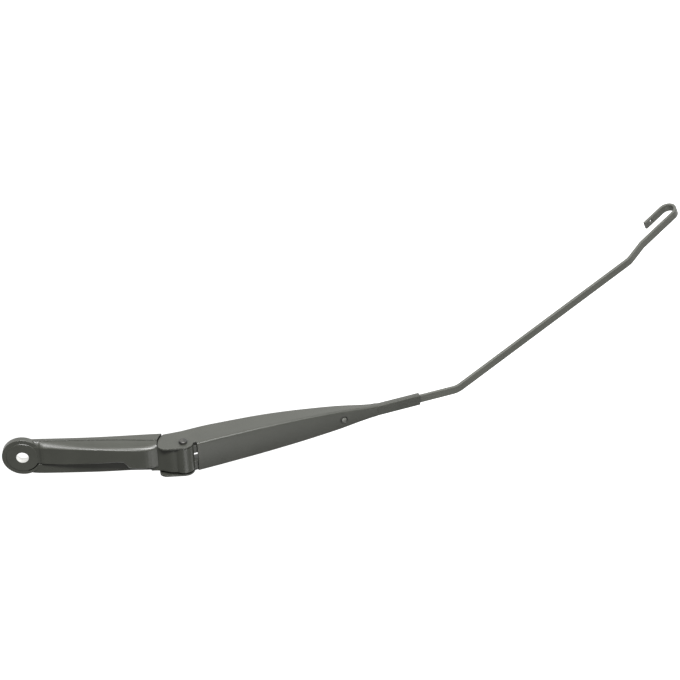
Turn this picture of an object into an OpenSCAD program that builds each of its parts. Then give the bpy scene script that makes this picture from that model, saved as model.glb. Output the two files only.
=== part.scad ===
// Front wiper arm: cast mounting head, pressed steel channel, flat hook rod and over-centre spring.
// Lengths are millimetres. The spindle bore's mouth is the origin, +Z leaves the glass,
// +X runs along the head to the hinge. The arm is drawn folded down, as it rests off the car.

/* [Mounting head] */
// Distance from the spindle bore to the hinge pin
pin_reach = 155.5; // [153:0.5:160]
// Height of the hinge pin above the boss face
pin_rise = 6.5; // [6:0.1:7]
// Radius of the boss disc
boss_r = 19.8; // [19.5:0.1:20.5]
// Radius of the raised face on the boss
face_r = 15.6; // [14:0.1:16.5]
// Depth of the raised face's step
face_step = 0.5; // [0.4:0.1:0.9]
// Depth from the boss face to the flat underside
head_depth = 7; // [6.5:0.1:7.5]
// Radius of the collar under the boss
collar_r = 11.5; // [11:0.1:13]
// Height of the collar under the boss
collar_h = 2.2; // [1.5:0.1:3]
// Wall thickness of the casting
cast_wall = 3; // [2.6:0.1:3.2]

/* [Spindle bore] */
// Radius of the bore at the boss face
bore_r = 6; // [5:0.1:6.5]
// Length of the straight land under the boss face
bore_land = 4.5; // [4:0.1:5.5]
// Radius that the taper opens to at the collar
taper_r = 6.9; // [6.6:0.1:7.5]

/* [Neck of the head] */
// Half width of the neck on the side that faces the camera, at the boss
side_w = 16.6; // [16:0.1:17]
// How far that side swells by the hinge
side_flare = 1.2; // [0.6:0.1:1.4]
// Half width of the low ledge on the other side, at the boss
ledge_w = 19.7; // [19.5:0.1:19.8]
// How far the ledge draws in by the hinge
ledge_draw = 2.9; // [2.5:0.1:3.2]
// Height of the ledge above the boss face, at the boss
ledge_low = -0.6; // [-1:0.1:0]
// Height of the ledge at the hinge
ledge_high = 5; // [4:0.1:6]
// Distance of the crease from the centre line
crease_y = 7.2; // [6.5:0.1:8]
// Height of the neck's crest where it leaves the boss
crest_low = 2.6; // [2:0.1:3]
// Height of the crest before the hinge
crest_high = 13.2; // [12:0.1:14]
// Height of the dip where the neck steps in between the ears
crest_dip = 10.4; // [10:0.1:11]
// Half width of the crest's flat
crest_w = 11; // [10:0.1:11.5]

/* [Hinge] */
// Radius of the hinge pin
pin_r = 3; // [2.8:0.05:3.1]
// Radius of the pin's formed ends
pin_head_r = 3.9; // [3.7:0.1:4.3]
// How far a formed end stands out
pin_head_h = 2.4; // [2:0.1:2.8]
// Radius of the knuckle about the pin
knuckle_r = 10.1; // [9.8:0.1:10.2]
// Half width of the knuckle's raised face on the ledge's side
land_w = 13; // [12:0.1:13.6]
// Height of that raised face
land_step = 1.5; // [0.8:0.1:1.6]
// Angle at which the knuckle's nose stops, above the head's own line
nose_stop = 12; // [8:1:16]
// Width of the slot between the knuckle's cheeks
slot_w = 9.6; // [9:0.1:12]
// Outer radius of the hinge bushes
bush_r = 4.4; // [4.2:0.1:4.5]
// Running gap between the pin and a bush
bush_gap = 0.06; // [0.03:0.01:0.1]
// Gap between a moving face and the face beside it
side_gap = 0.35; // [0.3:0.05:0.5]

/* [Channel] */
// Thickness of the sheet
sheet = 1.6; // [1.4:0.1:1.8]
// Outer half width at the hinge
chan_w = 16.4; // [16:0.1:16.8]
// Height of the web above the hinge pin
web_rise = 7.5; // [7:0.1:8]
// Outer radius of the bends along the web
bend_r = 2.6; // [2.2:0.1:3]
// Where the web starts, beyond the pin
web_start = 11.8; // [11.6:0.1:14]
// Full length from the pin to the crimp's end
chan_len = 243.6; // [240:0.2:250]
// Length of the crimp round the rod
crimp_len = 46; // [40:1:50]
// Depth of the side walls below the pin at the hinge
wall_drop = 18.2; // [17.5:0.1:19]
// Rise of the web's crown over its width at the hinge
crown = 0.8; // [0.4:0.1:1]
// Angle that the channel hangs down from the head at rest
fold = 20.9; // [20:0.1:21.5]
// Angle that the arm lifts from rest
lift = 95; // [80:1:95]

/* [Ears] */
// Radius of the ear's lobe about the pin
lobe_r = 9.9; // [9.6:0.1:10.6]
// Radius of the ear's nose about the pin
nose_r = 24.2; // [23.5:0.1:25]

/* [Rod] */
// Width of the flat bar
bar_w = 8.6; // [8.4:0.1:9.2]
// Thickness of the flat bar
bar_t = 3; // [2.8:0.1:3.2]
// Radius of the bar's rounded edges
bar_edge = 0.8; // [0.5:0.1:1.1]
// Length from the crimp to the first bend
rod_stub = 37.3; // [34:0.1:42]
// Length of the long straight
rod_main = 214.7; // [200:0.1:230]
// Length of the crank before the hook
rod_crank = 18.6; // [16:0.1:22]
// Length of the hook's main leg
hook_leg = 48.2; // [44:0.1:52]
// Length of the hook's return leg
hook_return = 25.7; // [23:0.1:28]
// Gap between the hook's two legs
hook_gap = 14; // [13:0.1:15]
// Diameter of the latch hole in the return leg
latch_d = 4.4; // [4:0.1:5]
// Length of rod inside the channel, from the crimp's end to the spring tab's bend
rod_tail = 113; // [110:0.5:115]

/* [Spring and its link] */
// Wire diameter of the spring
wire_d = 2; // [1.8:0.1:2.2]
// Outer diameter of the spring
coil_d = 11; // [10.4:0.1:11.4]
// Radius of the link pin in the head
link_pin_r = 2; // [1.9:0.05:2.1]
// Width of the link across the slot
link_w = 8; // [7:0.1:8.5]
// Thickness of the link's curved band
link_t = 3; // [2.6:0.1:3.2]
// Link pin's distance behind the hinge pin
link_back = 4.3; // [4.2:0.1:4.5]
// Link pin's distance below the hinge pin, to the glass
link_down = 6.4; // [6.3:0.1:6.6]

/* [Rivet] */
// Distance of the rivet from the hinge pin
rivet_at = 162.5; // [158:0.5:166]
// Radius of the rivet's head
rivet_r = 2.7; // [2.4:0.1:3]
// Radius of the rivet's shank
rivet_shank = 1.8; // [1.6:0.1:2]

/* [Hidden] */
$fn = 96;
touch = 0.02;
let_in = 0.2;
stop_gap = 0.15;
inner_w = chan_w - sheet;
knuckle_w = inner_w - side_gap;
lug_w = inner_w - (bend_r - sheet) - 0.1;
cheek_r = nose_r + 0.9;
neck_end = pin_reach - 20;
rod_z = web_rise - sheet - touch - bar_t/2;
crimp_w = bar_w/2 + sheet + 0.2 + touch;
crimp_h = bar_t + 2*sheet + 2*touch;
rod_root = chan_len - rod_tail;
crimp_x = chan_len - crimp_len;

// A smooth curve through rows of [x, value, value ...]
function row(t, x, i = 0) = i >= len(t) - 2 || x <= t[i + 1][0] ? i : row(t, x, i + 1);
function grade(t, i, k) =
    let(a = max(i - 1, 0), b = min(i + 1, len(t) - 1)) (t[b][k] - t[a][k])/(t[b][0] - t[a][0]);
function along(t, x, k = 1) =
    let(i = row(t, x), w = t[i + 1][0] - t[i][0], s = (x - t[i][0])/w)
    t[i][k]*(2*pow(s, 3) - 3*pow(s, 2) + 1) + grade(t, i, k)*w*(pow(s, 3) - 2*pow(s, 2) + s)
    + t[i + 1][k]*(3*pow(s, 2) - 2*pow(s, 3)) + grade(t, i + 1, k)*w*(pow(s, 3) - pow(s, 2));

// A skin over rings of points that all have the same count; a folded sheet's ends close in strips
module skin(rings, sheet_end = false) {
    n = len(rings[0]);
    e = (len(rings) - 1)*n;
    h = n/2 - 2;
    polyhedron(
        points = [for (r = rings, p = r) p],
        faces = concat(
            sheet_end ? [for (i = [0:h]) [i, i + 1, n - 2 - i, n - 1 - i]] : [[for (i = [0:n - 1]) i]],
            [for (j = [0:n:e - n], i = [0:n - 1]) [j + i, j + n + i, j + n + (i + 1)%n, j + (i + 1)%n]],
            sheet_end ? [for (i = [0:h]) [e + i, e + n - 1 - i, e + n - 2 - i, e + i + 1]]
                : [[for (i = [n - 1:-1:0]) e + i]]
        )
    );
}

// A plate from y0 to y1, drawn in the side view
module side_plate(y0, y1) {
    translate([0, y1, 0])
        rotate([90, 0, 0])
            linear_extrude(y1 - y0)
                children();
}

// A round bar across the arm
module cross(r, y0, y1) {
    translate([0, y1, 0])
        rotate([90, 0, 0])
            cylinder(r = r, h = y1 - y0);
}

module at_pin() {
    translate([pin_reach, 0, pin_rise])
        children();
}

module on_arm() {
    at_pin()
        rotate([0, fold, 0])
            children();
}

// Neck of the head: crest height along x
crest = [
    [0, -3.4], [face_r - 2, -1.7], [face_r + 3, crest_low - 1], [face_r + 11, crest_low + 0.2],
    [pin_reach*0.42, crest_low + 5.2], [pin_reach - 54, crest_high - 1.1], [pin_reach - 37, crest_high],
    [pin_reach - 30, crest_high - 0.7], [neck_end - 3, crest_dip], [neck_end + 20, crest_dip]
];
// Neck of the head: crease's distance, run of the flank, height of the round side,
// height of the ledge and depth of the crease
form = [
    [0, crease_y, 0.5, -3.6, ledge_low - 1.8, 0.9], [9, crease_y, 0.5, -3.6, ledge_low - 0.3, 0.9],
    [14.5, crease_y, 0.5, -3.6, ledge_low + 0.5, 1], [25, crease_y, 0.6, -3.6, ledge_low + 1.1, 1],
    [42, crease_y, 1, -3.2, ledge_low + 1.8, 0.9], [56, crease_y, 2.2, -2.9, ledge_low + 2.3, 0.1],
    [75, crease_y, 4, -2.4, ledge_low + 3, 0.1],
    [pin_reach - 57, crease_y + 0.2, 6.4, -0.6, ledge_high - 2.4, 0.1],
    [pin_reach - 53, crease_y + 7.2, 7.6, 0, ledge_high - 2.4, 0.1],
    [pin_reach - 30, crease_y + 7.6, 7.4, 2.6, ledge_high - 0.7, 0.1],
    [neck_end + 20, crease_y + 7.4, 6, 3, ledge_high + 1, 0.1]
];

function neck_ring(x, off) =
    let(
        u = x/neck_end,
        s = side_w + side_flare*u - 0.9*pow(sin(180*u), 2) - off,
        l = (x < 6 ? ledge_w - 0.6 : ledge_w - ledge_draw*u*u) - off,
        top = max(along(crest, x), along(form, x, 4) + 0.1) - off,
        side = min(along(form, x, 3), top + off - 1.5) - off*0.4,
        low = along(form, x, 4) - off,
        deep = off > 0 ? 0.1 : along(form, x, 5),
        run = along(form, x, 2),
        flat = crest_w + 0.8*u - off*0.5,
        soft = 1.6 - 0.5*u,
        c = min(along(form, x, 1) - off*0.6, l - 2.05)
    )
    concat(
        [[x, 0, -head_depth - off], [x, s, -head_depth - off], [x, s, side - 0.02]],
        [for (a = [0:11.25:90])
            [x, flat + (s - 0.5 - flat)*pow(cos(a), soft), side + (top - side)*pow(sin(a), soft)]],
        [for (t = [0:0.2:1]) [x, -c + run*(1 - t), low + (top - low)*(1 + cos(180*t))/2]],
        [[x, -c - 0.3, low - deep], [x, -c - 1, low - deep], [x, -c - 1.4, low - 0.08],
            [x, -l + 0.6, low - 0.5], [x, -l + 0.2, low - 0.9],
            [x, -l, low - 2], [x, -l, -head_depth - off]]
    );

// Knuckle's top line in side view, up to where it meets the round nose
knuckle_top = [
    [neck_end - 12, crest_dip - 0.4], [neck_end - 4, crest_dip], [neck_end + 7, pin_rise + 7.6],
    [neck_end + 13.5, pin_rise + 8]
];

module knuckle_side(off, low = 0) {
    translate([pin_reach, pin_rise])
        circle(r = knuckle_r - off);
    polygon(concat(
        [for (i = [0:17]) let(x = neck_end - 12 + 1.5*i) [x, along(knuckle_top, x) - off]],
        [[pin_reach - 3, pin_rise + knuckle_r - off - 1.6], [pin_reach, pin_rise],
        [pin_reach + 1, pin_rise - knuckle_r + off + 1.2],
        [neck_end + 6, -head_depth - low], [neck_end - 12, -head_depth - low]]
    ));
}

module slot_side() {
    knuckle_side(cast_wall, 1.5);
    polygon([
        [neck_end - 7, -head_depth - 4], [pin_reach + knuckle_r + 2, -head_depth - 4],
        [pin_reach + knuckle_r + 2, pin_rise + (knuckle_r + 2)*tan(nose_stop)],
        [pin_reach, pin_rise], [neck_end - 7, pin_rise]
    ]);
}

module mounting_head() {
    color([0.13, 0.13, 0.12])
    difference() {
        union() {
            // Boss: disc with a raised face and a sloping rim, and the collar under it
            rotate_extrude()
                polygon([
                    [0, -head_depth], [boss_r - 0.8, -head_depth], [boss_r, -head_depth + 0.8],
                    [boss_r, -face_step - 0.25], [boss_r - 0.25, -face_step],
                    [face_r + 0.1, -face_step], [face_r - 0.3, 0], [0, 0]
                ]);
            translate([0, 0, -head_depth - collar_h])
                cylinder(r = collar_r, h = collar_h + 1);
            difference() {
                skin([for (x = [3, 9, 12.5, 14.5, 16.5, 18.5, 21, 24, 28, 34, 42, 52, 62, 72, 82, 91,
                    98, 100.5, 103, 108, 112, 115.5, 119, 122, 125, 128, 131, 135])
                    neck_ring(x*neck_end/135.5, 0)]);
                at_pin()
                    cross(cheek_r, -boss_r - 2, boss_r + 2);
            }
            side_plate(-land_w, knuckle_w)
                knuckle_side(0);
            side_plate(-knuckle_w, 0)
                knuckle_side(land_step);
            // Two lugs under the web's end stop the arm as it folds down
            for (y = [-lug_w, slot_w/2])
                on_arm()
                    side_plate(y, y + lug_w - slot_w/2)
                        polygon([
                            [0, 2], [4, web_rise - sheet - stop_gap],
                            [web_start + 2.4, web_rise - sheet - stop_gap],
                            [web_start + 2.4, 3.6], [web_start - 1, 0.5], [0, -4]
                        ]);
        }
        // The crease runs on round the boss face
        rotate([0, 0, -76])
            rotate_extrude(angle = 50)
                translate([face_r, -face_step - 1.1])
                    square([1.1, 4]);
        // Spindle bore: straight land, then a taper that opens to the collar
        translate([0, 0, -bore_land])
            cylinder(r = bore_r, h = bore_land + 3);
        translate([0, 0, -head_depth - collar_h])
            cylinder(r1 = taper_r, r2 = bore_r, h = head_depth + collar_h - bore_land);
        // The casting is hollow and open underneath
        difference() {
            skin([for (x = [boss_r + 4, 30, 40, 52, 66, 80, 94, 106, neck_end - 16, neck_end - 8])
                neck_ring(x, cast_wall)]);
            at_pin()
                cross(cheek_r + cast_wall, -boss_r - 2, boss_r + 2);
            // Two cross ribs
            for (x = [pin_reach*0.32, pin_reach*0.53])
                translate([x, -boss_r, -head_depth + 1])
                    cube([2, 2*boss_r, 30]);
        }
        side_plate(-slot_w/2, slot_w/2)
            slot_side();
        at_pin()
            cross(bush_r, -chan_w, chan_w);
        at_pin()
            translate([-link_back, 0, -link_down])
                cross(link_pin_r, -chan_w, chan_w);
    }
}

module bush(y0) {
    color([0.78, 0.72, 0.55])
        at_pin()
            difference() {
                cross(bush_r, y0, y0 + knuckle_w - slot_w/2);
                cross(pin_r + bush_gap, y0 - 1, y0 + knuckle_w);
            }
}

module bush_near() {
    bush(slot_w/2);
}

module bush_far() {
    bush(-knuckle_w);
}

module hinge_pin() {
    end = chan_w + pin_head_h;
    color([0.2, 0.2, 0.19])
        on_arm()
            rotate([90, 0, 0])
                rotate_extrude()
                    polygon([
                        [0, -end], [pin_head_r - 0.5, -end], [pin_head_r, -end + 0.5],
                        [pin_head_r, -chan_w], [pin_r, -chan_w], [pin_r, chan_w],
                        [pin_head_r, chan_w], [pin_head_r, end - 0.5], [pin_head_r - 0.5, end], [0, end]
                    ]);
}

// Channel: half width, level of the walls' free edge and level of the web, along the arm
plan = [
    [web_start - 4, chan_w, -wall_drop, 0], [20, chan_w, -wall_drop, 0], [30, chan_w, -wall_drop + 0.3, 0],
    [45, chan_w - 0.25, -wall_drop + 1.3, 0], [75, chan_w - 0.8, -wall_drop + 3.6, 0],
    [95, chan_w - 1.5, -wall_drop + 5.6, 0], [117, chan_w - 2.5, -wall_drop + 8.5, 0],
    [138, chan_w - 3.9, -wall_drop + 11.5, 0], [160, chan_w - 5.7, -wall_drop + 14.8, 0],
    [180, crimp_w + 1.9, -wall_drop + 17.9, 0], [crimp_x - 6, crimp_w + 0.6, web_rise - crimp_h + 0.3, 0],
    [crimp_x, crimp_w + 0.2, web_rise - crimp_h + 0.6, 0.05],
    [crimp_x + 4, crimp_w - 0.5, web_rise - crimp_h + 1, -0.4]
];

// Half of the pressed section, from a wall's free edge over the bend to the middle of the web
function half_section(w, low, web, t) =
    let(up = crown*pow(w/chan_w, 2), r = min(bend_r, w*0.3))
    concat(
        [[w - t, low]],
        [for (a = [0:18:90]) [w - r + (r - t)*cos(a), web - r + (r - t)*sin(a)]],
        [for (y = [0.75, 0.5, 0.25, 0]) [y*(w - r), web - t + up*(1 - y*y)]]
    );

function chan_ring(x) =
    let(
        web = web_rise + along(plan, x, 3),
        outer = half_section(along(plan, x), along(plan, x, 2), web, 0),
        inner = half_section(along(plan, x), along(plan, x, 2), web, sheet),
        k = len(outer) - 2
    )
    concat(
        [for (p = outer) [x, p[0], p[1]]],
        [for (i = [k:-1:0]) [x, -outer[i][0], outer[i][1]]],
        [for (p = inner) [x, -p[0], p[1]]],
        [for (i = [k:-1:0]) [x, inner[i][0], inner[i][1]]]
    );

module ear_side() {
    a = 90 + fold;
    tx = lobe_r*cos(a);
    tz = lobe_r*sin(a);
    circle(r = lobe_r);
    intersection() {
        circle(r = nose_r);
        polygon([
            [0, 0], [tx, tz],
            [-18.6, 4.1], [-21.2, 2.9], [-23, 0.9], [-nose_r, -1.6], [-nose_r, -nose_r],
            [-15, -wall_drop - 1.9], [3.7, -wall_drop], [6, -wall_drop], [6, 0]
        ]);
    }
    polygon([
        [0, 0], [lobe_r - 3, lobe_r*sin(25)], [18, lobe_r*sin(25)], [18, -wall_drop],
        [0, -wall_drop]
    ]);
}

module flat_bar(grow = 0) {
    w = bar_w/2 - bar_edge;
    t = bar_t/2 - bar_edge;
    square([2*w, bar_t + 2*grow], center = true);
    square([bar_w + 2*grow, 2*t], center = true);
    for (y = [-w, w], z = [-t, t])
        translate([y, z])
            circle(r = bar_edge + grow, $fn = 32);
}

module crimp_shape() {
    r = 1.9;
    w = crimp_w - r;
    translate([0, web_rise - crimp_h/2]) {
        square([2*w, crimp_h], center = true);
        square([2*crimp_w, crimp_h - 2*r], center = true);
        for (y = [-w, w], z = [-1, 1])
            translate([y, z*(crimp_h/2 - r)])
                circle(r = r, $fn = 32);
    }
}

module channel() {
    color([0.16, 0.16, 0.15])
    on_arm()
        difference() {
            union() {
                for (y = [-chan_w, inner_w])
                    side_plate(y, y + sheet)
                        ear_side();
                skin([for (x = [web_start, 20, 25, 34, 45, 55, 65, 75, 85, 95, 106, 117, 128, 138, 149,
                    160, 170, 180, 186, crimp_x - 6, crimp_x, crimp_x + 4]) chan_ring(x)], true);
                // Crimp: the walls fold round the rod and meet underneath
                translate([crimp_x, 0, 0])
                    rotate([90, 0, 90])
                        linear_extrude(crimp_len)
                            crimp_shape();
            }
            // Bed of the rod in the crimp, and the seam under it
            translate([crimp_x - 1, 0, rod_z])
                rotate([90, 0, 90])
                    linear_extrude(crimp_len + 2)
                        flat_bar(touch);
            translate([crimp_x - 1, -0.6, rod_z - crimp_h])
                cube([crimp_len + 2, 1.2, crimp_h]);
            cross(pin_r, -chan_w - 1, chan_w + 1);
            // Rivet hole with a dimple
            translate([rivet_at, 0, 0])
                cylinder(r = rivet_shank, h = 20);
            translate([rivet_at, 0, web_rise - 0.5])
                cylinder(r1 = rivet_r, r2 = rivet_r + 1.6, h = 1.6);
        }
}

// One straight of the flat bar along +x, let into the bend at each end
module straight(l, tail = let_in) {
    translate([-let_in, 0, 0])
        rotate([90, 0, 90])
            linear_extrude(l + let_in + tail)
                flat_bar(touch/2);
}

// A bend of the flat bar: side turns it in its own plane, down turns it flatwise to the glass
module bend(side, down, r) {
    turn = sqrt(side*side + down*down);
    roll = atan2(down, side);
    rotate([-roll, 0, 0])
        translate([0, r, 0])
            rotate([0, 0, -90])
                rotate_extrude(angle = turn)
                    translate([r, 0])
                        rotate(-roll)
                            flat_bar();
}

module past_bend(side, down, r) {
    turn = sqrt(side*side + down*down);
    roll = atan2(down, side);
    rotate([-roll, 0, 0])
        translate([r*sin(turn), r*(1 - cos(turn)), 0])
            rotate([0, 0, turn])
                rotate([roll, 0, 0])
                    children();
}

// A straight, then a bend, then what follows
module leg(l, side, down, r) {
    straight(l);
    translate([l, 0, 0]) {
        bend(side, down, r);
        past_bend(side, down, r)
            children();
    }
}

tab_bend = 40;
tab_r = 5;
tab_len = 8;
tab_at = 4.2;
eye_r = wire_d/2 + 0.85;
loop_r = (coil_d - wire_d)/2;
hook_r = (hook_gap + bar_t)/2;

module rod() {
    color([0.17, 0.17, 0.16])
    on_arm()
        difference() {
            union() {
                // From the crimp out to the hook
                translate([rod_root, 0, rod_z])
                    leg(rod_tail + rod_stub, 21.7, 7.5, 22)
                        leg(rod_main, 5.6, 14.9, 18)
                            leg(rod_crank, -7.2, -4.3, 18)
                                leg(hook_leg, 0, 180, hook_r)
                                    difference() {
                                        straight(hook_return, 0);
                                        translate([hook_return - 8, 0, -bar_t])
                                            cylinder(d = latch_d, h = 2*bar_t, $fn = 48);
                                    }
                // Tab at the inner end that holds the spring
                translate([rod_root, 0, rod_z])
                    mirror([1, 0, 0]) {
                        bend(0, tab_bend, tab_r);
                        past_bend(0, tab_bend, tab_r)
                            difference() {
                                straight(tab_len, 0);
                                translate([tab_at, 0, -bar_t])
                                    cylinder(r = eye_r, h = 2*bar_t, $fn = 48);
                            }
                    }
            }
            translate([rivet_at, 0, 0])
                cylinder(r = rivet_shank, h = 20);
        }
}

module rod_rivet() {
    top = web_rise + crown*pow(0.6, 2);
    low = rod_z - bar_t/2;
    color([0.25, 0.25, 0.24])
        on_arm()
            translate([rivet_at, 0, 0])
                rotate_extrude()
                    polygon([
                        [0, low - 1.2], [rivet_r - 0.6, low - 1.2], [rivet_r, low - 0.6], [rivet_r, low],
                        [rivet_shank, low], [rivet_shank, web_rise - 0.5], [rivet_r, web_rise - 0.5],
                        [rivet_r - 0.3, top - 0.05], [rivet_r - 1.4, top + 0.15], [0, top + 0.25]
                    ]);
}

// The spring's line of pull: from the link pin to the loop that hangs in the rod's tab
tab_x = rod_root - tab_r*sin(tab_bend) - (tab_at + loop_r)*cos(tab_bend);
tab_z = rod_z - tab_r*(1 - cos(tab_bend)) - (tab_at + loop_r)*sin(tab_bend);
hook_x = tab_x*cos(fold) + tab_z*sin(fold) + link_back;
hook_z = -tab_x*sin(fold) + tab_z*cos(fold) + link_down;
pull_len = sqrt(hook_x*hook_x + hook_z*hook_z);
pull_ang = atan2(hook_z, hook_x);
lifted = -90.5;
pin_dist = sqrt(link_back*link_back + link_down*link_down);
pin_ang = atan2(link_down, link_back) - pull_ang;

module on_pull() {
    at_pin()
        translate([-link_back, 0, -link_down])
            rotate([0, -pull_ang, 0])
                children();
}

module link_pin() {
    color([0.62, 0.62, 0.6])
        at_pin()
            translate([-link_back, 0, -link_down])
                cross(link_pin_r, -knuckle_w + 0.5, knuckle_w - 0.5);
}

// Centre of the knuckle's nose in the link's frame when the arm is fully lifted
nose_x = pin_dist*cos(pin_ang + lifted);
nose_z = pin_dist*sin(pin_ang + lifted);
band_r = knuckle_r + 0.9;
eye_x = 26.5;

module link_side() {
    a0 = -100;
    stem_x = nose_x + (band_r + link_t/2)*cos(a0);
    stem_z = nose_z + (band_r + link_t/2)*sin(a0);
    // Eye on the link pin, and its arm down to the band
    circle(r = link_pin_r + 2);
    rotate(atan2(stem_z, stem_x))
        translate([0, -1.7])
            square([sqrt(stem_x*stem_x + stem_z*stem_z), 3.4]);
    // Band that passes round the knuckle's nose
    translate([nose_x, nose_z])
        intersection() {
            difference() {
                circle(r = band_r + link_t);
                circle(r = band_r);
            }
            polygon([[0, 0], [30*cos(a0 - 6), 30*sin(a0 - 6)], [30, -30], [30, 30*sin(16)]]);
        }
    // Tongue that the spring hangs in
    translate([nose_x + band_r + 0.4, -1.5])
        square([eye_x + 3 - nose_x - band_r - 0.4, 3]);
}

module spring_link() {
    color([0.66, 0.66, 0.62])
        on_pull()
            difference() {
                side_plate(-link_w/2, link_w/2)
                    link_side();
                cross(link_pin_r + 0.08, -link_w, link_w);
                translate([eye_x, 0, -link_w])
                    cylinder(r = eye_r, h = 2*link_w, $fn = 48);
            }
}

// A loop of wire that stands across the spring's end
module loop() {
    rotate([90, 0, 0])
        rotate_extrude()
            translate([loop_r, 0])
                circle(d = wire_d, $fn = 24);
}

module tension_spring() {
    // The loops hang in the tongue's hole and in the tab's hole
    first = eye_x + loop_r;
    last = pull_len;
    coil_x = first + loop_r;
    turns = floor((last - loop_r - coil_x)/wire_d);
    step = (last - loop_r - coil_x)/turns;
    color([0.7, 0.7, 0.68])
        on_pull() {
            translate([coil_x, 0, 0])
                rotate([0, 90, 0])
                    rotate_extrude()
                        union() {
                            for (i = [0:turns])
                                translate([loop_r, i*step])
                                    circle(r = wire_d/2 + 0.03, $fn = 24);
                            translate([loop_r - 0.4, 0])
                                square([0.8, turns*step]);
                        }
            for (x = [first, last])
                translate([x, 0, 0])
                    loop();
            for (x = [coil_x, last - loop_r])
                translate([x, 0, 0])
                    cross(wire_d/2, 0, loop_r);
        }
}

mounting_head();
bush_near();
bush_far();
hinge_pin();
channel();
rod();
rod_rivet();
link_pin();
spring_link();
tension_spring();
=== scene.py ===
import math

import bmesh
import bpy
from mathutils import Matrix, Vector


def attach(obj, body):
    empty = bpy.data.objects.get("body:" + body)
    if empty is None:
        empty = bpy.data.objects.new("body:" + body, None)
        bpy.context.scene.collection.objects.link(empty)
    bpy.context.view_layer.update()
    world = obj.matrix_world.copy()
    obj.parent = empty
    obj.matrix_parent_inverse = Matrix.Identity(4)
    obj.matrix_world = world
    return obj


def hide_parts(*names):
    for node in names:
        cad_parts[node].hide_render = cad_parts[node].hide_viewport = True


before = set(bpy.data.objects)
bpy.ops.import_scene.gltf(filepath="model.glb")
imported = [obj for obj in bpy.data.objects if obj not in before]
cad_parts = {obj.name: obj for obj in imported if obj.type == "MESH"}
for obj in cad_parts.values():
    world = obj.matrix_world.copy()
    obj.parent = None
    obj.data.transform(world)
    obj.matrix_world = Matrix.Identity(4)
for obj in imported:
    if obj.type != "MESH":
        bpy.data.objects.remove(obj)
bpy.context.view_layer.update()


# Mounting head: a zinc die casting that clamps on the wiper spindle. It is blasted and then
# painted in a satin dark grey, so its skin has a faint orange peel and its edges rub lighter.
class Tone:
    """One output of a finish's nodes; sums and products of tones add their own nodes."""

    def __init__(self, tree, socket=None):
        self.tree, self.socket = tree, socket

    def make(self, kind, settings=None, inputs=None, out=0):
        node = self.tree.nodes.new(kind)
        for name, value in (settings or {}).items():
            setattr(node, name, value)
        for name, value in (inputs or {}).items():
            if isinstance(value, Tone):
                self.tree.links.new(value.socket, node.inputs[name])
            else:
                node.inputs[name].default_value = value
        return Tone(self.tree, node.outputs[out])

    def _sum(self, operation, a, b, clamp=False):
        return self.make("ShaderNodeMath", {"operation": operation, "use_clamp": clamp}, {0: a, 1: b})

    def __add__(self, other):
        return self._sum("ADD", self, other)

    def __radd__(self, other):
        return self._sum("ADD", other, self)

    def __sub__(self, other):
        return self._sum("SUBTRACT", self, other)

    def __rsub__(self, other):
        return self._sum("SUBTRACT", other, self)

    def __mul__(self, other):
        return self._sum("MULTIPLY", self, other)

    def __rmul__(self, other):
        return self._sum("MULTIPLY", other, self)

    def __pow__(self, other):
        return self._sum("POWER", self, other)

    def __rpow__(self, other):
        return self._sum("POWER", other, self)

    def held(self, low=0.0, high=1.0):
        """This tone stretched so that low becomes 0 and high becomes 1, and cut off outside."""
        return self._sum("MULTIPLY", self - low, 1.0 / (high - low), True)

    def blended(self, here, there):
        """The colour here where this tone is 0, and the colour there where it is 1."""
        return self.make(
            "ShaderNodeMix", {"data_type": "RGBA"}, {0: self, 6: here, 7: there}, out=2)

    def axis(self, index):
        """The x, y or z of this tone, for an index of 0, 1 or 2."""
        return self.make("ShaderNodeSeparateXYZ", None, {"Vector": self}, out=index)


def noise(tone, where, scale, detail=3.0, rough=0.55):
    return tone.make("ShaderNodeTexNoise", None,
                     {"Vector": where, "Scale": scale, "Detail": detail, "Roughness": rough})


def shaded(shade, share):
    """The colour that is this share of a shade, with its alpha."""
    return tuple(min(1.0, c * share) for c in shade) + (1.0,)


def new_finish(name):
    finish = bpy.data.materials.new(name)
    finish.use_nodes = True
    finish.node_tree.nodes.clear()
    return finish, Tone(finish.node_tree)


def close_finish(tone, skin):
    last = tone.tree.nodes.new("ShaderNodeOutputMaterial")
    tone.tree.links.new(skin.socket, last.inputs["Surface"])


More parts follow.
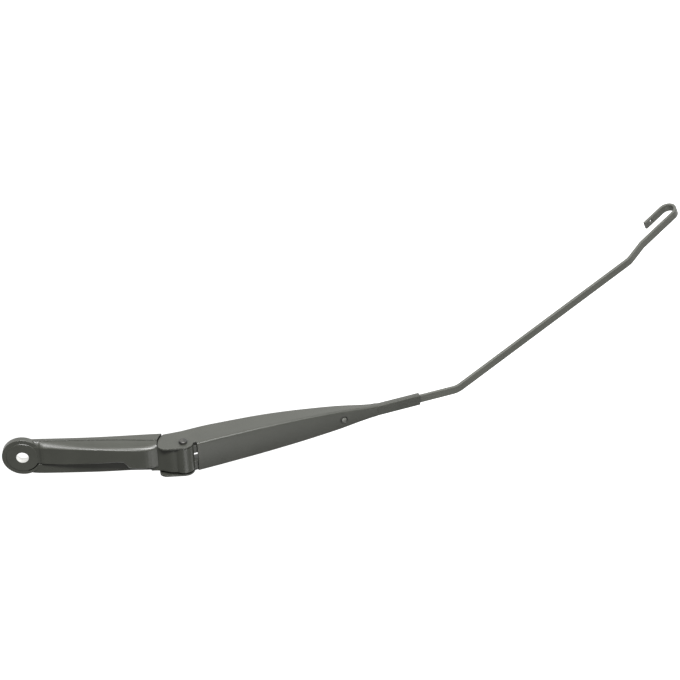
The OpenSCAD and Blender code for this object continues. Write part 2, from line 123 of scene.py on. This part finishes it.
def satin_paint(name, shade, peel=0.06, rough=0.42, edge=0.00035, bare=None, ring=None):
    """Baked satin paint: cloudy shade, orange peel, painted shade in the corners and rubbed edges.
    bare is (centre, radius) of a bore whose machined wall stays unpainted, bright bare metal that
    also stands in for the light on the bore's lower wall, and ring is (centre, inner, outer) of a
    painted shade line round a rivet."""
    finish, tone = new_finish(name)
    where = tone.make("ShaderNodeTexCoord", out=3)
    cloud = noise(tone, where, 34.0, 4.0)
    speck = noise(tone, where, 900.0, 2.0)
    grain = noise(tone, where, 2600.0, 2.0)
    round_off = tone.make("ShaderNodeBevel", {"samples": 6}, {"Radius": edge})
    face = tone.make("ShaderNodeNewGeometry", out=1)
    turn = tone.make(
        "ShaderNodeVectorMath", {"operation": "DOT_PRODUCT"}, {0: round_off, 1: face}, out=1)
    opened = tone.make(
        "ShaderNodeAmbientOcclusion", {"samples": 6}, {"Distance": 0.004}, out=1)
    rubbed = (1 - turn).held(0.03, 0.3) * opened.held(0.6, 0.95) * cloud.held(0.34, 0.66)
    coat = (cloud * 0.7 + speck * 0.3).held(0.3, 0.7).blended(shaded(shade, 0.8), shaded(shade, 1.0))
    # Painted shade: where the ambient occlusion finds the surface closed in, the coat is darkened
    # towards 0.12 of its shade, standing in for the shade in corners and creases.
    coat = opened.held(0.3, 0.9).blended(shaded(shade, 0.12), coat)
    coat = (rubbed * 0.55).blended(coat, shaded(shade, 1.75))
    rough_all = cloud * 0.14 + speck * 0.05 + (rough - 0.1) - rubbed * 0.08
    metal = rubbed * 0.25
    # Partly painted highlight: the bore's wall below the face gets bright bare machined metal, which
    # also stands in for the light that falls on the bore's lower wall.
    if bare:
        (cx, cy), radius = bare
        x, y, z = where.axis(0) - cx, where.axis(1) - cy, where.axis(2)
        away = (x * x + y * y) ** 0.5
        wall = (radius - away).held(0.0, 0.0001) * (0 - z).held(0.0002, 0.0004)
        rings = tone.make("ShaderNodeMapping", None, {"Vector": where, "Scale": (1, 1, 60)})
        turned = noise(tone, rings, 60.0).held(0.3, 0.7)
        coat = wall.blended(coat, turned.blended((0.42, 0.42, 0.4, 1), (0.66, 0.66, 0.64, 1)))
        metal = metal + wall * 0.85
        rough_all = rough_all - wall * 0.1
    # Painted shade: a dark line in the coat round the rivet, standing in for the shade round its
    # head.
    if ring:
        (cx, cy), inner, outer = ring
        x, y = where.axis(0) - cx, where.axis(1) - cy
        away = (x * x * 1.1 + y * y) ** 0.5
        line = (away.held(inner - 0.0004, inner + 0.0002)
                * (1 - away.held(outer - 0.0006, outer + 0.0006)) * (cloud * 0.3 + 0.6))
        coat = line.blended(coat, shaded(shade, 0.25))
        rough_all = rough_all + line * 0.15
    skin = tone.make("ShaderNodeBump", None, {
        "Strength": peel, "Distance": 0.0004, "Height": speck * 0.7 + grain * 0.3,
        "Normal": round_off})
    close_finish(tone, tone.make("ShaderNodeBsdfPrincipled", None, {
        "Base Color": coat, "Roughness": rough_all, "Metallic": metal, "Normal": skin}))
    return finish


def wear(node, finish):
    """Gives a CAD node its finish; the node's own mesh stays as it is."""
    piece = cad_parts[node]
    if not piece.material_slots:
        piece.data.materials.append(finish)
    for place in piece.material_slots:
        place.link = "OBJECT"
        place.material = finish
    return piece


# The head's bright bare bore wall is partly a painted highlight.
cast_paint = satin_paint("cast_paint", (0.041, 0.0425, 0.035), peel=0.09, rough=0.38,
                         bare=((0.0, 0.0), 0.0071))
wear("mounting_head", cast_paint)


# Hinge pin and its two bushes: a headed steel pin, blacked before it goes in, held in the
# channel's ears. It turns in oil-filled bronze bushes pressed into the head's knuckle.
def worked_metal(name, light, dark, rough, stretch, scale, tarnish, metal=1.0):
    """Bare or plated metal with fine marks of the tool that run one way, dull spots, and painted
    shade in its corners.
    """
    finish, tone = new_finish(name)
    where = tone.make("ShaderNodeTexCoord", out=3)
    along = tone.make("ShaderNodeMapping", None, {"Vector": where, "Scale": stretch})
    marks = noise(tone, along, scale, 3.0)
    dull = noise(tone, where, 160.0, 4.0)
    round_off = tone.make("ShaderNodeBevel", {"samples": 4}, {"Radius": 0.0003})
    opened = tone.make(
        "ShaderNodeAmbientOcclusion", {"samples": 4}, {"Distance": 0.002}, out=1)
    skin = marks.held(0.3, 0.7).blended(shaded(dark, 1.0), shaded(light, 1.0))
    skin = dull.held(0.52, 0.72).blended(skin, shaded(tarnish, 1.0))
    # Painted shade: where the ambient occlusion finds the surface closed in, the metal's colour is
    # darkened towards 0.4 of its dark tone.
    skin = opened.held(0.2, 0.8).blended(shaded(dark, 0.4), skin)
    bump = tone.make("ShaderNodeBump", None, {
        "Strength": 0.12, "Distance": 0.0002, "Height": marks, "Normal": round_off})
    close_finish(tone, tone.make("ShaderNodeBsdfPrincipled", None, {
        "Base Color": skin, "Roughness": marks * 0.15 + dull * 0.15 + (rough - 0.12),
        "Metallic": metal - dull.held(0.5, 0.75) * 0.2, "Normal": bump}))
    return finish


blacked_steel = worked_metal("blacked_steel", (0.06, 0.06, 0.057), (0.035, 0.035, 0.034), 0.42,
                             (1.0, 1.0, 1.0), 700.0, (0.085, 0.08, 0.07), metal=0.55)
oiled_bronze = worked_metal("oiled_bronze", (0.5, 0.36, 0.2), (0.3, 0.21, 0.12), 0.48,
                            (1.0, 1.0, 1.0), 1500.0, (0.2, 0.15, 0.1))
wear("hinge_pin", blacked_steel)
for bush in ("bush_near", "bush_far"):
    wear(bush, oiled_bronze)


# Channel: one strip of steel pressed into an open U, with two ears for the pin, drawn in to a
# crimp that is closed on the rod. It is painted together with the rod, after they are joined.
# The channel's paint carries a painted shade ring round the rivet's head.
pressed_paint = satin_paint("pressed_paint", (0.042, 0.0434, 0.0362), peel=0.045, rough=0.4,
                            edge=0.0003, ring=((0.3097, 0.0), 0.0026, 0.0042))
wear("channel", pressed_paint)


# Rod and its rivet: a flat steel bar, bent on edge and flat and turned over into a U for the
# blade. The rivet fixes it in the channel, under the same paint.
# Painted light: the bar's coat is a lighter copy of the channel's paint, painted lighter to stand in
# for the light the rod catches.
lit_bar_paint = satin_paint("lit_bar_paint", (0.075, 0.077, 0.066), peel=0.04, rough=0.52, edge=0.0003)
wear("rod", lit_bar_paint)
# Painted lighter than the bar, partly for paint worn on the rivet's head and partly as a painted
# highlight for the light its head catches.
rivet_worn_and_lit_paint = satin_paint("rivet_worn_and_lit_paint", (0.125, 0.127, 0.113), peel=0.05, rough=0.34, edge=0.0003)
wear("rod_rivet", rivet_worn_and_lit_paint)


# Link and its pin: a zinc-plated plate that hangs on the pin in the head's slot, passes round
# the knuckle's nose and holds the spring's loop, so that the pull goes over centre.
zinc_plate = worked_metal("zinc_plate", (0.6, 0.6, 0.57), (0.42, 0.42, 0.4), 0.38,
                          (8.0, 1.0, 8.0), 140.0, (0.33, 0.33, 0.31))
wear("spring_link", zinc_plate)
wear("link_pin", zinc_plate)


# Tension spring: plated wire wound close, each end turned in over the centre into a loop. One
# loop hangs in the link's tongue and the other in the hole of the rod's tab.
pull_from = Vector((0.1512, 0.0, 0.0001))
pull_along = Vector((0.11623, 0.0, -0.03889))
pull_length = pull_along.length
pull_turn = Matrix.Rotation(math.atan2(-pull_along.z, pull_along.x), 3, "Y")
wire = 0.001
coil_round = 0.0041
near_round, far_round = 0.0042, 0.0045
loop_near = 0.0307
turns, turn_steps = 41, 20
hook_steps, hook_turn = 18, 18.5


def spring_path():
    """Points along the wire, in the spring's own line: loop, coil and loop."""
    first, last = loop_near + near_round + 0.0006, pull_length - far_round
    for i in range(hook_steps):
        a = math.radians(30 + hook_turn * i)
        yield (loop_near + near_round * math.cos(a), 0.0, near_round * math.sin(a))
    for y in (0.0012, 0.0028):
        yield (first + 0.0002, y, 0.0004 + 0.1 * y)
    for i in range(turns * turn_steps + 1):
        a = 2 * math.pi * i / turn_steps
        yield (first + (last - first) * i / (turns * turn_steps), coil_round * math.cos(a),
               coil_round * math.sin(a))
    for y in (0.0028, 0.0012):
        yield (last - 0.0002, y, 0.0004 + 0.1 * y)
    for i in range(hook_steps):
        a = math.radians(170 - hook_turn * i)
        yield (pull_length + far_round * math.cos(a), 0.0, far_round * math.sin(a))


path = [pull_from + pull_turn @ Vector(p) for p in spring_path()]
coil_line = bpy.data.curves.new("spring_wire", "CURVE")
coil_line.dimensions = "3D"
coil_line.bevel_depth = wire
coil_line.bevel_resolution = 3
coil_line.use_fill_caps = True
run = coil_line.splines.new("POLY")
run.points.add(len(path) - 1)
for point, place in zip(run.points, path):
    point.co = (*place, 1.0)
spring_wire = bpy.data.objects.new("spring_wire", coil_line)
bpy.context.scene.collection.objects.link(spring_wire)
drawn_wire = worked_metal("drawn_wire", (0.5, 0.5, 0.48), (0.3, 0.3, 0.29), 0.4,
                          (1.0, 1.0, 1.0), 900.0, (0.25, 0.24, 0.22))
coil_line.materials.append(drawn_wire)
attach(spring_wire, "link")
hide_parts("tension_spring")


# Studio: a white floor far below that glows by its own emission and is painted brighter towards +x as
# a patch of painted light, a long soft light over the arm's far side, a weak card overhead and a weak
# light past the hook. The camera looks down as the photograph does.
def panel(name, place, aim, size, power):
    lamp = bpy.data.lights.new(name, "AREA")
    lamp.shape = "RECTANGLE"
    lamp.size, lamp.size_y = size
    lamp.energy = power
    held = bpy.data.objects.new(name, lamp)
    held.location = place
    held.rotation_mode = "QUATERNION"
    held.rotation_quaternion = (Vector(aim) - Vector(place)).to_track_quat("-Z", "Y")
    bpy.context.scene.collection.objects.link(held)


panel("over_light", (0.25, 1.8, 0.98), (0.15, 0.0, -0.05), (1.6, 0.46), 96.0)
panel("top_card", (0.9, -1.0, 1.6), (0.5, 0.0, -0.1), (1.2, 0.7), 9.0)
panel("end_light", (2.2, 0.9, 0.6), (0.3, 0.0, -0.1), (0.9, 0.9), 6.0)

floor_mesh = bmesh.new()
bmesh.ops.create_grid(floor_mesh, x_segments=1, y_segments=1, size=12.0)
bmesh.ops.translate(floor_mesh, verts=floor_mesh.verts, vec=(0.3, 0.0, -0.9))
floor_data = bpy.data.meshes.new("pale_floor")
floor_mesh.to_mesh(floor_data)
floor_mesh.free()
pale_floor = bpy.data.objects.new("pale_floor", floor_data)
bpy.context.scene.collection.objects.link(pale_floor)
floor_paint, tone = new_finish("floor_paint")
where = tone.make("ShaderNodeTexCoord", out=3)
# Painted light: the floor's glow rises from 0.95 to 1.4 towards +x, a patch of light painted into its
# emission.
painted_light_pool = where.axis(0).held(0.2, 0.45)
mottle = noise(tone, where, 3.0).held(0.2, 0.8)
close_finish(tone, tone.make("ShaderNodeBsdfPrincipled", None, {
    "Base Color": mottle.blended((0.2, 0.2, 0.198, 1), (0.24, 0.24, 0.238, 1)),
    "Roughness": 0.8, "Emission Strength": 1.0,
    "Emission Color": painted_light_pool.blended((0.95, 0.95, 0.945, 1), (1.4, 1.4, 1.39, 1))}))
floor_data.materials.append(floor_paint)

room = bpy.data.worlds.new("room")
bpy.context.scene.world = room
room.use_nodes = True
room.node_tree.nodes["Background"].inputs["Color"].default_value = (0.9, 0.9, 0.9, 1.0)
room.node_tree.nodes["Background"].inputs["Strength"].default_value = 0.3

across = Vector((0.99939, -0.02927, 0.01901))
up = Vector((0.03490, 0.83816, -0.54431))
view_camera = bpy.data.objects.new("view_camera", bpy.data.cameras.new("view_camera"))
view_camera.data.sensor_width = 36.0
view_camera.data.lens = 115.81
view_camera.data.clip_start, view_camera.data.clip_end = 0.01, 60.0
view_camera.matrix_world = Matrix.Translation((0.30856, 1.22961, 1.70545)) @ Matrix(
    (across, up, across.cross(up))).transposed().to_4x4()
bpy.context.scene.collection.objects.link(view_camera)
bpy.context.scene.camera = view_camera
bpy.context.scene.view_settings.view_transform = "Standard"
